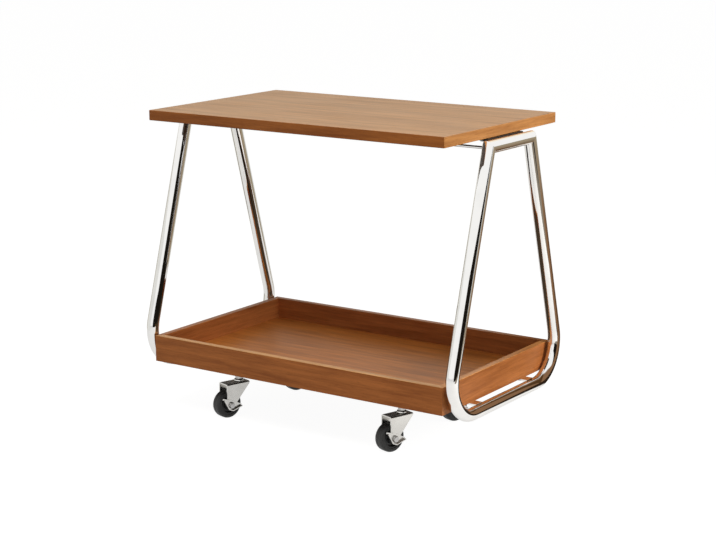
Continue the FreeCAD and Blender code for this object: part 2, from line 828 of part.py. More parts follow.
def make_brake_pedal(label):
    """The stamped pedal: a plate on the axle with a ledge along its two lower edges."""
    body = new_body(label)
    tip, tip_low, toe = "pedal_span / 2", "pedal_tip - pedal_tip_height", "pedal_toe / 2"
    low_edge = [(f"-{tip}", tip_low), (f"-{toe}", "-pedal_drop"), (toe, "-pedal_drop"), (tip, tip_low)]
    plate = sketch_on(body, "XZ_Plane")
    bind(plate, "AttachmentOffset.Base.z", "-pedal_inner_face")
    outline(plate, low_edge + [(tip, "pedal_tip"), (toe, "pedal_rise"), (f"-{toe}", "pedal_rise"),
                               (f"-{tip}", "pedal_tip")])
    sheet = pad(body, plate, "pedal_ledge + pedal_sheet", backward=True)
    across = Vector(0, 1, 0)
    bottom = -number("pedal_drop")
    fillet(body, sheet, "pedal_corner_radius",
           lambda edge: runs_along(edge, across) and abs(edge.CenterOfMass.z - bottom) < TOUCHING)
    hollow = sketch_on(body, "XZ_Plane")
    bind(hollow, "AttachmentOffset.Base.z", "-(pedal_inner_face + pedal_sheet)")
    inner_edge = [(x, f"{z} + pedal_sheet") for x, z in low_edge]
    outline(hollow, inner_edge + [(tip, "2 * pedal_rise"), (f"-{tip}", "2 * pedal_rise")])
    pocket(body, hollow, "2 * pedal_ledge")
    eye = sketch_on(body, "XZ_Plane")
    circle(eye, "0", "0", "axle_diameter / 2 + bearing_play")
    pocket(body, eye)
    return body


def make_casters():
    """Four casters, all trailing the same way."""
    heading = Rotation(Vector(0, 0, 1), number("trail_heading"))
    pressed_up = Rotation(Vector(0, 1, 0), -number("pedal_rest_angle"))
    on_stem = {"stem": make_stem, "race_cup": make_race_cup, "race_balls": make_race_balls,
               "fork": make_fork}
    on_axle = {"axle_bolt": make_axle_bolt, "axle_nut": make_axle_nut, "wheel_bush": make_wheel_bush,
               "wheel_hub": make_wheel_hub, "tyre": make_tyre, "brake_pedal": make_brake_pedal}
    for end in SIDES:
        for side in SIDES:
            corner = f"{END_NAMES[end]}_{SIDE_NAMES[side]}"
            x, y = f"{side} * caster_spacing / 2", f"{end} * rail_spacing / 2"
            for piece, make in on_stem.items():
                label = f"{corner}_{piece}"
                keep(seat(make(label), x, y, turn=heading), label)
            axle_x = f"{x} + caster_trail * cos(trail_heading)"
            axle_y = f"{y} + caster_trail * sin(trail_heading)"
            for piece, make in on_axle.items():
                label = f"{corner}_{piece}"
                turn = heading * pressed_up if piece == "brake_pedal" else heading
                keep(seat(make(label), axle_x, axle_y, "axle_level", turn), label)


def check_document():
    """Stop if a feature failed, a pocket cut nothing or a piece isn't sound."""
    doc.recompute()
    for item in doc.Objects:
        if {"Invalid", "Error"} & set(item.State):
            raise RuntimeError(f"{item.Label} failed: {item.State}")
        if item.TypeId == "PartDesign::Pocket":
            if item.BaseFeature.Shape.Volume - item.Shape.Volume < LEAST_CUT:
                raise RuntimeError(f"{item.Label} cut nothing")
    for piece in pieces:
        if piece.Shape.isNull() or not piece.Shape.isValid():
            raise RuntimeError(f"{piece.Label} isn't a sound shape")


make_top()
make_tray()
frame_copes = make_frames()
make_rails()
make_tabs(frame_copes)
make_plates()
make_tie_rods(frame_copes)
make_screws()
make_rail_nuts()
make_casters()
check_document()

os.makedirs("parts", exist_ok=True)
for piece in pieces:
    piece.Shape.exportStep(f"parts/{piece.Label}.step")
    print(piece.Label, len(piece.Shape.Solids), round(piece.Shape.Volume, 1))
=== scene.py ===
import json
import math

import bmesh
import bpy
from bpy.props import FloatProperty, FloatVectorProperty, IntProperty, PointerProperty
from mathutils import Matrix, Vector


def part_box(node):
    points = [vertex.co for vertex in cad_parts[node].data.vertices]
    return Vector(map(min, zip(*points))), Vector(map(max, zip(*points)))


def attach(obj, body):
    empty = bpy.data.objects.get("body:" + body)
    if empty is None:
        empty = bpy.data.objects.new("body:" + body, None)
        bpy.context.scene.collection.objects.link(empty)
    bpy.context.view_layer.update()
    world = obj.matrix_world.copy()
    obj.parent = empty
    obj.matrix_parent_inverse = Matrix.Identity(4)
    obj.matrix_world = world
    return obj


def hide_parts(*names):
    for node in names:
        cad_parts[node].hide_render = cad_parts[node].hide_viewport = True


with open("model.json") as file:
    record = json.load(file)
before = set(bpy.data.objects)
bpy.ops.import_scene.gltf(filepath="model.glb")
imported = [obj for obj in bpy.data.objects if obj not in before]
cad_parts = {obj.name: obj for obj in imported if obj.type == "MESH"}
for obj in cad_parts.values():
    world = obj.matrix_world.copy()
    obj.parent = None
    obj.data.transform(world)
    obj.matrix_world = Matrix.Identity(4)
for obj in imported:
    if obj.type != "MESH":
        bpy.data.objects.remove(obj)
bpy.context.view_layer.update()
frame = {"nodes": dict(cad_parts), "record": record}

bl_info = {
    "name": "Rolling side table",
    "version": (1, 0, 0),
    "blender": (4, 5, 0),
    "location": "View3D > Sidebar > Side table",
    "description": "Builds a rolling side table with a veneered top, a tray and chrome tube frames",
    "category": "Object",
}

CORNERS = ("front_left", "front_right", "rear_left", "rear_right")
SIDES = ("left", "right")
JOINTS = {joint["name"]: joint for joint in frame["record"]["behaviour"]["joints"]}
MM = 0.001

TOP_LOW, TOP_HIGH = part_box("top_panel")
WALL_LOW, WALL_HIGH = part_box("tray_front_wall")
TYRE_LOW, TYRE_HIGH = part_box("front_left_tyre")
TUBE_LOW, TUBE_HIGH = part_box("right_frame_tube")


# Settings that a user would change

def length(name, description, default):
    return FloatProperty(name=name, description=description, default=default, min=0.0, precision=5,
                         subtype="DISTANCE", unit="LENGTH")


def colour(name, description, default):
    return FloatVectorProperty(name=name, description=description, default=default, size=3,
                               min=0.0, max=1.0, subtype="COLOR")


def factor(name, description, default):
    return FloatProperty(name=name, description=description, default=default, min=0.0, max=1.0,
                         subtype="FACTOR")


class BoardSettings(bpy.types.PropertyGroup):
    edge_radius: length("Edge radius", "Rounding of the top's edges", 1.2 * MM)
    rim_radius: length("Rim radius", "Rounding of the tray's rim", 1.0 * MM)
    arris: length("Arris", "Easing of the tray's other edges", 0.3 * MM)
    wall: length("Wall thickness", "Thickness of the tray's walls", WALL_HIGH[1] - WALL_LOW[1])
    band: length("Edge band", "Thickness of the veneer band round the top's edges", 0.9 * MM)
    veneer_light: colour("Veneer, light", "Light part of the grain", (0.62, 0.225, 0.066))
    veneer_dark: colour("Veneer, dark", "Dark part of the grain", (0.32, 0.098, 0.024))
    veneer_pore: colour("Veneer, pores", "Open pores of the grain", (0.15, 0.042, 0.010))
    backing: colour("Backing", "Colour of the board's underside", (0.085, 0.045, 0.024))
    gloss: factor("Lacquer roughness", "Roughness of the lacquer", 0.36)


class FrameSettings(bpy.types.PropertyGroup):
    tube_radius: length("Tube radius", "Outer radius of the bent tube",
                        (TUBE_HIGH[0] - TUBE_LOW[0]) / 2)
    shoulder_width: length("Shoulder width", "Width of a loop at its top corners", 136.8 * MM)
    foot_width: length("Foot width", "Width of a loop at its bottom corners", 392.4 * MM)
    mitre_edge: length("Mitre edge", "Rounding along the welded mitres", 1.2 * MM)
    foot_bend: length("Foot bend", "Centre line radius of the bottom bends", 66 * MM)
    bend_steps: IntProperty(name="Bend steps", description="Steps in each bend", default=40, min=4)
    round_steps: IntProperty(name="Round steps", description="Steps round the tube", default=48, min=8)
    chrome: colour("Chrome", "Colour of the plated tube", (0.90, 0.89, 0.87))
    polish: factor("Chrome roughness", "Roughness of the plated tube", 0.045)
    paint: colour("Dark paint", "Colour of the rails and plates", (0.014, 0.009, 0.006))


class CasterSettings(bpy.types.PropertyGroup):
    fork_width: length("Fork width", "Outer width over the cheeks", 26 * MM)
    fork_sheet: length("Fork sheet", "Thickness of the fork", 2 * MM)
    fork_lead: length("Fork lead", "Reach of the crown ahead of the stem", 14.5 * MM)
    fork_tail: length("Fork tail", "Reach of the crown behind the axle", 7 * MM)
    fork_skirt: length("Fork skirt", "Depth of the crown's front edge", 3.5 * MM)
    fork_eye: length("Fork eye", "Radius of the cheek round the axle", 8 * MM)
    fork_fold: length("Fork fold", "Outer radius of the folded edges", 2.2 * MM)
    pedal_sheet: length("Pedal sheet", "Thickness of the brake pedal", 1.5 * MM)
    pedal_ledge: length("Pedal ledge", "How far the pedal's ledge stands out", 4.5 * MM)
    pedal_rest: FloatProperty(name="Pedal at rest", description="How far the released pedal is tipped up",
                              default=math.radians(22), subtype="ANGLE", unit="ROTATION")
    plate: colour("Bright plate", "Colour of the plated fork and pedal", (0.80, 0.785, 0.75))
    steel: colour("Steel", "Colour of bolts, stems and nuts", (0.62, 0.61, 0.60))
    rubber: colour("Tyre", "Colour of the tyre", (0.032, 0.032, 0.031))
    plastic: colour("Hub", "Colour of the moulded hub", (0.016, 0.016, 0.016))


class StageSettings(bpy.types.PropertyGroup):
    fill: FloatProperty(name="Fill", description="Strength of the light from all round", default=0.16,
                        min=0.0)
    key: FloatProperty(name="Key", description="Power of the lamp on the right", default=9.8, min=0.0,
                       unit="POWER")
    sky: FloatProperty(name="Sky", description="Power of the large lamp overhead", default=28.0, min=0.0,
                       unit="POWER")
    floor: colour("Floor", "Colour of the floor", (0.55, 0.54, 0.52))


# Node trees

class Wire:
    """A socket of a node tree. Sums and products of wires and numbers add Math nodes to the tree."""

    def __init__(self, tree, socket=None):
        self.tree = tree
        self.socket = socket

    def make(self, kind, output=0, settings=None, inputs=None):
        """Add a node with its settings and the values or links of its sockets; returns one output."""
        node = self.tree.nodes.new(kind)
        for key, value in (settings or {}).items():
            setattr(node, key, value)
        for key, value in (inputs or {}).items():
            if isinstance(value, Wire):
                self.tree.links.new(value.socket, node.inputs[key])
            else:
                node.inputs[key].default_value = value
        return Wire(self.tree, node.outputs[output]) if node.outputs else node

    def math(self, operation, first, second=0.0):
        return self.make("ShaderNodeMath", 0, {"operation": operation}, {0: first, 1: second})

    def __add__(self, other):
        return self.math("ADD", self, other)

    __radd__ = __add__

    def __mul__(self, other):
        return self.math("MULTIPLY", self, other)

    __rmul__ = __mul__

    def __sub__(self, other):
        return self.math("SUBTRACT", self, other)

    def __rsub__(self, other):
        return self.math("SUBTRACT", other, self)

    def __abs__(self):
        return self.math("ABSOLUTE", self)

    def either(self, other):
        return self.math("MAXIMUM", self, other)

    def both(self, other):
        return self.math("MINIMUM", self, other)

    def blend(self, first, second):
        """Two colours mixed by this wire."""
        return self.make("ShaderNodeMix", 2, {"data_type": "RGBA"}, {0: self, 6: first, 7: second})

    def spread(self, low, high, new_low=0.0, new_high=1.0):
        """This wire's range stretched to another, and held there."""
        ends = {"From Min": low, "From Max": high, "To Min": new_low, "To Max": new_high}
        return self.make("ShaderNodeMapRange", 0, {"clamp": True}, {"Value": self, **ends})


def shade(values):
    return (*values, 1.0)


def new_material(name):
    """An empty material, the start of its tree and its surface shader."""
    material = bpy.data.materials.new(name)
    material.use_nodes = True
    tree = material.node_tree
    shader = tree.nodes["Principled BSDF"]
    return material, Wire(tree), shader


def feed(start, shader, **inputs):
    """Put values or wires on a shader's sockets, named with underscores for spaces."""
    for name, value in inputs.items():
        socket = shader.inputs[name.replace("_", " ")]
        if isinstance(value, Wire):
            start.tree.links.new(value.socket, socket)
        else:
            socket.default_value = value


def noise(start, spot, scale, detail=3.0, rough=0.5):
    return start.make("ShaderNodeTexNoise", "Fac", None,
                      {"Vector": spot, "Scale": scale, "Detail": detail, "Roughness": rough})


def mapped(start, spot, **moves):
    """A place moved, turned or stretched."""
    return start.make("ShaderNodeMapping", 0, None, {"Vector": spot, **moves})


def bump(start, height, strength, distance):
    return start.make("ShaderNodeBump", "Normal", None,
                      {"Height": height, "Strength": strength, "Distance": distance})


# The veneer's grain, from broad leaves to fibres: stretch along it and across it, detail, share of the tone
GRAIN = {
    "leaves": (2.2, 30.0, 2.0, 0.26),
    "figure": (8.0, 105.0, 3.0, 0.40),
    "streaks": (14.0, 300.0, 4.0, 0.28),
    "fibres": (26.0, 1100.0, 3.0, 0.12),
}
GRAIN_ROUGHNESS = 0.55
TONE_RANGE = (0.38, 0.68)
# The open pores: stretch along and across and detail, the part of the noise that is a pore, and its darkness
PORES = (60.0, 2100.0, 1.0)
PORE_RANGE = (0.60, 0.72)
PORE_SHARE = 0.42
# How far the grain wanders across itself, and over what lengths
WANDER = (0.016, 0.012)
WANDER_STRETCH = (3.0, 7.0, 7.0)
# The glue line inside the edge band: the distances at which it starts to pale and is gone, and its darkness
GLUE_LINE = (0.05 * MM, 0.22 * MM)
GLUE_SHARE = 0.55
# Relief of the grain: strength and depth. Worn patches: their scale, and how much they vary the gloss
GRAIN_RELIEF = (0.22, 0.12 * MM)
WEAR_SCALE = 9.0
GLOSS_VARIATION = 0.10
ACROSS = math.radians(90)
LACQUER = 1.25


def veneer(name, shift, turn=0.0, tint_and_painted_light=(1.0, 1.0, 1.0), banded=False, lacquer=LACQUER):
    """Lacquered walnut veneer with its grain along X, turned about Z and shifted to another sheet."""
    boards = bpy.context.scene.side_table_boards
    light, dark, pore = (shade([channel * gain for channel, gain in zip(tint, tint_and_painted_light)])
                         for tint in (boards.veneer_light, boards.veneer_dark, boards.veneer_pore))
    material, start, shader = new_material(name)
    spot = start.make("ShaderNodeTexCoord", "Object")
    leaf = mapped(start, spot, Location=shift, Rotation=(0.0, 0.0, turn))
    wander = noise(start, mapped(start, leaf, Scale=WANDER_STRETCH), 1.0, 2.0) - 0.5
    drift = start.make("ShaderNodeCombineXYZ", 0, None, {"Y": wander * WANDER[0], "Z": wander * WANDER[1]})
    swayed = start.make("ShaderNodeVectorMath", 0, {"operation": "ADD"}, {0: leaf, 1: drift})

    def grain(along, across, detail):
        return noise(start, mapped(start, swayed, Scale=(along, across, across)), 1.0, detail,
                     GRAIN_ROUGHNESS)

    layers = {layer: grain(*look[:3]) for layer, look in GRAIN.items()}
    pores = grain(*PORES).spread(*PORE_RANGE)
    tone = sum(layers[layer] * look[3] for layer, look in GRAIN.items()).spread(*TONE_RANGE)
    tint = (pores * PORE_SHARE).blend(tone.blend(dark, light), pore)
    if banded:
        across = start.make("ShaderNodeSeparateXYZ", "X", None, {"Vector": spot})
        along = Wire(start.tree, across.socket.node.outputs["Y"])
        inset_x = TOP_HIGH[0] - boards.band - abs(across)
        inset_y = TOP_HIGH[1] - boards.band - abs(along)
        line = 1.0 - abs(inset_x.both(inset_y)).spread(*GLUE_LINE)
        tint = (line * GLUE_SHARE).blend(tint, pore)
    worn = noise(start, spot, WEAR_SCALE, 3.0)
    uneven = (layers["streaks"] - 0.5) * GLOSS_VARIATION + (worn - 0.5) * GLOSS_VARIATION
    relief = bump(start, layers["fibres"] * 0.5 - pores * 0.5, *GRAIN_RELIEF)
    feed(start, shader, Base_Color=tint, IOR=lacquer, Normal=relief, Roughness=boards.gloss + uneven)
    return material


# Hand marks on plated metal: scale, range and darkness. The stretch of its polishing lines
MARK_SCALE, MARK_RANGE, MARK_TONE = 28.0, (0.45, 0.75), 0.93
POLISH_STRETCH = (900.0, 900.0, 60.0)
# Orange peel and dust on paint, and how the dust lightens and dulls it
PEEL_SCALE, PEEL_RELIEF = 700.0, (0.15, 0.1 * MM)
DUST_SCALE, DUST_RANGE = 22.0, (0.45, 0.8)
DUST_GAIN, DUST_LIFT = 1.6, 0.004
PAINT_ROUGHNESS, DUST_ROUGHNESS = 0.48, 0.18
# The skin and the scuffs of mouldings
SKIN_SCALE, SKIN_RELIEF = 1500.0, (0.2, 0.08 * MM)
SCUFF_SCALE, SCUFF_RANGE, SCUFF_ROUGHNESS = 120.0, (0.5, 0.8), 0.18


def polished(name, tint, roughness, smudge, swirl):
    """Plated metal: faint polishing lines and hand marks in its gloss."""
    material, start, shader = new_material(name)
    spot = start.make("ShaderNodeTexCoord", "Object")
    marks = noise(start, spot, MARK_SCALE, 5.0, 0.6).spread(*MARK_RANGE)
    lines = noise(start, mapped(start, spot, Scale=POLISH_STRETCH), 1.0, 2.0)
    dull = [channel * MARK_TONE for channel in tint]
    feed(start, shader, Base_Color=marks.blend(shade(tint), shade(dull)), Metallic=1.0,
         Roughness=roughness + marks * smudge + (lines - 0.5) * swirl)
    return material


def painted(name, tint):
    """Dark satin paint with a little orange peel and dust."""
    material, start, shader = new_material(name)
    spot = start.make("ShaderNodeTexCoord", "Object")
    peel = noise(start, spot, PEEL_SCALE, 2.0)
    dust = noise(start, spot, DUST_SCALE, 4.0).spread(*DUST_RANGE)
    dusty = [min(1.0, channel * DUST_GAIN + DUST_LIFT) for channel in tint]
    feed(start, shader, Base_Color=dust.blend(shade(tint), shade(dusty)), Specular_IOR_Level=0.2,
         Roughness=PAINT_ROUGHNESS + dust * DUST_ROUGHNESS, Normal=bump(start, peel, *PEEL_RELIEF))
    return material


def moulded(name, tint, roughness, speck):
    """Black rubber or plastic: a fine moulded skin, scuffed a little paler."""
    material, start, shader = new_material(name)
    spot = start.make("ShaderNodeTexCoord", "Object")
    skin = noise(start, spot, SKIN_SCALE, 2.0)
    scuff = noise(start, spot, SCUFF_SCALE, 4.0).spread(*SCUFF_RANGE)
    pale = [channel + speck for channel in tint]
    feed(start, shader, Base_Color=scuff.blend(shade(tint), shade(pale)),
         Roughness=roughness + scuff * SCUFF_ROUGHNESS, Normal=bump(start, skin, *SKIN_RELIEF))
    return material


# Sheets of veneer: where each is cut from, which way its grain runs, and a gain on its colour that tints it
# and, on the rims and the top's edges, paints light and shade
VENEERS = {
    "top_veneer": {"shift": (0.0, 0.0, 0.0), "tint_and_painted_light": (1.12, 1.56, 2.2), "banded": True},
    # The band on the top's two ends is painted lighter, as painted light, and the band along its sides
    # darker, as painted shade
    "band_veneer": {"shift": (0.31, 0.17, 0.0), "turn": ACROSS, "tint_and_painted_light": (1.06, 1.35, 1.5)},
    "edge_veneer": {"shift": (0.9, 0.6, 0.3), "tint_and_painted_light": (0.80, 0.72, 0.50)},
    "front_veneer": {"shift": (1.7, 0.4, 0.2), "tint_and_painted_light": (1.06, 0.98, 0.84)},
    "rear_veneer": {"shift": (3.1, 0.9, 0.5)},
    "end_veneer": {"shift": (2.3, 1.3, 0.1), "turn": ACROSS},
    # The next two sheets paint a highlight on the front and right rims: their lighter colour stands in for
    # light
    "rim_veneer": {"shift": (2.9, 1.1, 0.6), "tint_and_painted_light": (1.6, 2.3, 2.9)},
    "end_rim_veneer": {"shift": (1.9, 0.2, 0.7), "turn": ACROSS, "tint_and_painted_light": (1.45, 1.75, 1.8)},
    "floor_veneer": {"shift": (0.7, 2.2, 0.9), "tint_and_painted_light": (1.18, 1.14, 0.8), "lacquer": 1.24},
}


def finish(name):
    """A finish by name, made when it is first asked for."""
    label = f"{name}_finish"
    found = bpy.data.materials.get(label)
    if found:
        return found
    if name in VENEERS:
        return veneer(label, **VENEERS[name])
    scene = bpy.context.scene
    boards, frames, casters = scene.side_table_boards, scene.side_table_frames, scene.side_table_casters
    # The function that makes each finish, its colour, its roughness and how marked it is
    maker, *look = {
        "frame_chrome": (polished, frames.chrome, frames.polish, 0.05, 0.02),
        "bright_plate": (polished, casters.plate, 0.20, 0.14, 0.06),
        "zinc_steel": (polished, casters.steel, 0.28, 0.12, 0.10),
        "dark_paint": (painted, frames.paint),
        "backing": (painted, boards.backing),
        "black_tyre": (moulded, casters.rubber, 0.50, 0.020),
        "black_plastic": (moulded, casters.plastic, 0.38, 0.010),
    }[name]
    return maker(label, *look)


# Meshes

# Faces that meet at more than this keep a crisp edge, on most pieces and on the tubes
CRISP, TUBE_CRISP = math.radians(32), math.radians(40)
EVEN_NORMALS = ("WEIGHTED_NORMAL", {"keep_sharp": True})
# Heights closer than this are level
LEVEL = 1e-6


def add_object(name, data):
    item = bpy.data.objects.new(name, data)
    bpy.context.scene.collection.objects.link(item)
    return item


def to_mesh(name, bm):
    mesh = bpy.data.meshes.new(name)
    bm.to_mesh(mesh)
    bm.free()
    return mesh


def mark_edges(bm, sharp):
    """Smooth faces, with edges sharper than an angle kept crisp."""
    for face in bm.faces:
        face.smooth = True
    for edge in bm.edges:
        edge.smooth = edge.calc_face_angle(0.0) < sharp


def add_modifiers(item, modifiers):
    for kind, settings in modifiers:
        modifier = item.modifiers.new(kind.lower(), kind)
        for key, value in settings.items():
            setattr(modifier, key, value)


def add_piece(name, bm, finishes, body, node, place=None, modifiers=()):
    """Turn a mesh into a piece that rides on a body and stands for a CAD node."""
    if place is not None:
        bm.transform(place)
    mark_edges(bm, CRISP)
    mesh = to_mesh(name, bm)
    for label in finishes:
        mesh.materials.append(finish(label))
    item = add_object(name, mesh)
    add_modifiers(item, modifiers)
    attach(item, body)
    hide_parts(node)


def dress(nodes, label):
    """Give CAD nodes that stay in view a finish."""
    for name in nodes:
        node = frame["nodes"][name]
        node.data.materials.clear()
        node.data.materials.append(finish(label))


def lathe(profile, segments=72, closed=False):
    """Points of radius and height spun about Z. A radius of zero is a pole; a closed profile is a ring."""
    bm = bmesh.new()
    rings = []
    for radius, height in profile:
        count = segments if radius > 0 else 1
        turns = (2 * math.pi * index / segments for index in range(count))
        rings.append([bm.verts.new((radius * math.cos(turn), radius * math.sin(turn), height))
                      for turn in turns])
    pairs = list(zip(rings, rings[1:]))
    if closed:
        pairs.append((rings[-1], rings[0]))
    for low, high in pairs:
        for index in range(segments):
            after = index + 1
            corners = (low[index % len(low)], low[after % len(low)],
                       high[after % len(high)], high[index % len(high)])
            bm.faces.new(dict.fromkeys(corners))
    bmesh.ops.recalc_face_normals(bm, faces=bm.faces)
    return bm


def rounded(points, radii, steps, closed=False):
    """A path with each corner turned by an arc of its own radius. A radius of zero keeps the corner."""
    count = len(points)
    path = []
    for index, (point, radius) in enumerate(zip(points, radii)):
        here = Vector(point)
        if radius == 0 or (not closed and index in (0, count - 1)):
            path.append(here)
            continue
        back = (Vector(points[index - 1]) - here).normalized()
        ahead = (Vector(points[(index + 1) % count]) - here).normalized()
        half = back.angle(ahead) / 2
        centre = here + (back + ahead).normalized() * radius / math.sin(half)
        start = here + back * radius / math.tan(half) - centre
        end = here + ahead * radius / math.tan(half) - centre
        sweep = math.pi - 2 * half
        for step in range(steps + 1):
            share = step / steps
            reach = start * math.sin((1 - share) * sweep) + end * math.sin(share * sweep)
            path.append(centre + reach / math.sin(sweep))
    return path


def mirrored(profile):
    """A profile of radius and height, and its mirror image below."""
    return profile + [(radius, -height) for radius, height in reversed(profile)]


def rectangle(low, high):
    return [(low[0], low[1]), (high[0], low[1]), (high[0], high[1]), (low[0], high[1])]


def prism(outline, low, high):
    """A flat outline raised from one height to another."""
    bm = bmesh.new()
    base = bm.faces.new([bm.verts.new((x, y, low)) for x, y in outline])
    raised = bmesh.ops.extrude_face_region(bm, geom=[base])["geom"]
    bmesh.ops.translate(bm, vec=(0, 0, high - low),
                        verts=[item for item in raised if isinstance(item, bmesh.types.BMVert)])
    bmesh.ops.recalc_face_normals(bm, faces=bm.faces)
    return bm


def soften(bm, edges, width, segments=3):
    bmesh.ops.bevel(bm, geom=list(edges), offset=width, segments=segments, profile=0.5, affect="EDGES",
                    clamp_overlap=True)


def is_upright(edge):
    low, high = sorted(vert.co.z for vert in edge.verts)
    return high - low > LEVEL


# Top and tray

# How far a face's normal leans when the face counts as an edge, a rim or an underside
EDGE_LEAN, RIM_LEAN, UNDER_LEAN = 0.7, 0.5, -0.9


class SIDETABLE_OT_top(bpy.types.Operator):
    """The veneered board, with a band of veneer round its edges"""
    bl_idname = "side_table.top"
    bl_label = "Table top"

    def execute(self, context):
        boards = context.scene.side_table_boards
        bm = prism(rectangle(TOP_LOW, TOP_HIGH), TOP_LOW[2], TOP_HIGH[2])
        soften(bm, bm.edges, boards.edge_radius)
        # The band on the two ends is painted lighter and the band along the sides darker: painted light and
        # shade
        finishes = ("top_veneer", "band_veneer", "edge_veneer", "backing")
        bm.normal_update()
        for face in bm.faces:
            face.material_index = finishes.index(self.finish_of(face))
        add_piece("table_top", bm, finishes, "frame", "top_panel", modifiers=(EVEN_NORMALS,))
        return {"FINISHED"}

    def finish_of(self, face):
        """The finish of a face at an end, along a side, underneath or on top. The ends carry painted light
        and the sides painted shade.
        """
        if abs(face.normal.x) > EDGE_LEAN:
            return "band_veneer"
        if abs(face.normal.y) > EDGE_LEAN:
            return "edge_veneer"
        return "backing" if face.normal.z < UNDER_LEAN else "top_veneer"


class SIDETABLE_OT_tray(bpy.types.Operator):
    """The tray's four mitred walls and its floor"""
    bl_idname = "side_table.tray"
    bl_label = "Tray"

    def execute(self, context):
        boards = context.scene.side_table_boards
        # Each wall's turn about Z in degrees, and the finishes of its faces and its rim. The front and right
        # rims carry a painted highlight, lighter where the light falls on them
        walls = {
            "front": (0, ("front_veneer", "rim_veneer")),
            "rear": (180, ("rear_veneer", "rear_veneer")),
            "left": (270, ("end_veneer", "end_veneer")),
            "right": (90, ("end_veneer", "end_rim_veneer")),
        }
        for side, (turn, finishes) in walls.items():
            node = f"tray_{side}_wall"
            low, high = (Vector(corner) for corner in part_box(node))
            size = high - low
            half = max(size.x, size.y) / 2
            inner = half - boards.wall
            plan = [(-half, 0), (half, 0), (inner, boards.wall), (-inner, boards.wall)]
            bm = prism(plan, low.z, high.z)
            rim = [edge for edge in bm.edges if all(vert.co.z > high.z - MM for vert in edge.verts)
                   and abs(edge.verts[0].co.y - edge.verts[1].co.y) < MM]
            soften(bm, rim, boards.rim_radius)
            corners = [edge for edge in bm.edges if is_upright(edge) and edge.calc_length() > size.z / 2]
            soften(bm, corners, boards.arris, 2)
            turned = Matrix.Rotation(math.radians(turn), 4, "Z")
            outer = (low + high) / 2 + turned @ Vector((0, -boards.wall / 2, 0))
            place = Matrix.Translation((outer.x, outer.y, 0)) @ turned
            bm.normal_update()
            for face in bm.faces:
                face.material_index = int(face.normal.z > RIM_LEAN)
            add_piece(f"{side}_tray_wall", bm, finishes, "frame", node, place,
                      modifiers=(EVEN_NORMALS,))
        low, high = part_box("tray_floor")
        board = prism(rectangle(low, high), low[2], high[2])
        soften(board, board.edges, boards.arris, 2)
        board.normal_update()
        for face in board.faces:
            face.material_index = int(face.normal.z < UNDER_LEAN)
        add_piece("tray_floor_board", board, ("floor_veneer", "backing"), "frame", "tray_floor",
                  modifiers=(EVEN_NORMALS,))
        dress(("tray_corner_splines",), "floor_veneer")
        return {"FINISHED"}


# Side frames

def sweep_tree():
    """A tube swept along the edges of a mesh."""
    tree = bpy.data.node_groups.new("tube_on_path", "GeometryNodeTree")
    labels = {}
    for label, kind in (("Path", "NodeSocketGeometry"), ("Tube Radius", "NodeSocketFloat"),
                        ("Round Steps", "NodeSocketInt"), ("Finish", "NodeSocketMaterial")):
        labels[label] = tree.interface.new_socket(label, in_out="INPUT", socket_type=kind).identifier
    tree.interface.new_socket("Geometry", in_out="OUTPUT", socket_type="NodeSocketGeometry")
    entry = tree.nodes.new("NodeGroupInput")
    start = Wire(tree)

    def given(label):
        return Wire(tree, entry.outputs[label])

    path = start.make("GeometryNodeMeshToCurve", 0, None, {"Mesh": given("Path")})
    section = start.make("GeometryNodeCurvePrimitiveCircle", 0, None,
                         {"Radius": given("Tube Radius"), "Resolution": given("Round Steps")})
    swept = start.make("GeometryNodeCurveToMesh", 0, None, {"Curve": path, "Profile Curve": section})
    real = start.make("GeometryNodeRealizeInstances", 0, None, {"Geometry": swept})
    done = start.make("GeometryNodeSetMaterial", 0, None, {"Geometry": real, "Material": given("Finish")})
    start.make("NodeGroupOutput", 0, None, {"Geometry": done})
    return tree, labels


def grown(name, tree, labels, values, points, edges):
    """A plain mesh from a node tree and its seed, on an object at the origin."""
    mesh = bpy.data.meshes.new(f"{name}_seed")
    mesh.from_pydata(points, edges, [])
    item = add_object(name, mesh)
    modifier = item.modifiers.new("grow", "NODES")
    modifier.node_group = tree
    for label, value in values.items():
        modifier[labels[label]] = value
    depsgraph = bpy.context.evaluated_depsgraph_get()
    result = bpy.data.meshes.new_from_object(item.evaluated_get(depsgraph))
    if not result.polygons:
        raise RuntimeError(f"{name} has no faces")
    item.modifiers.remove(modifier)
    item.data = result
    result.name = name
    return item


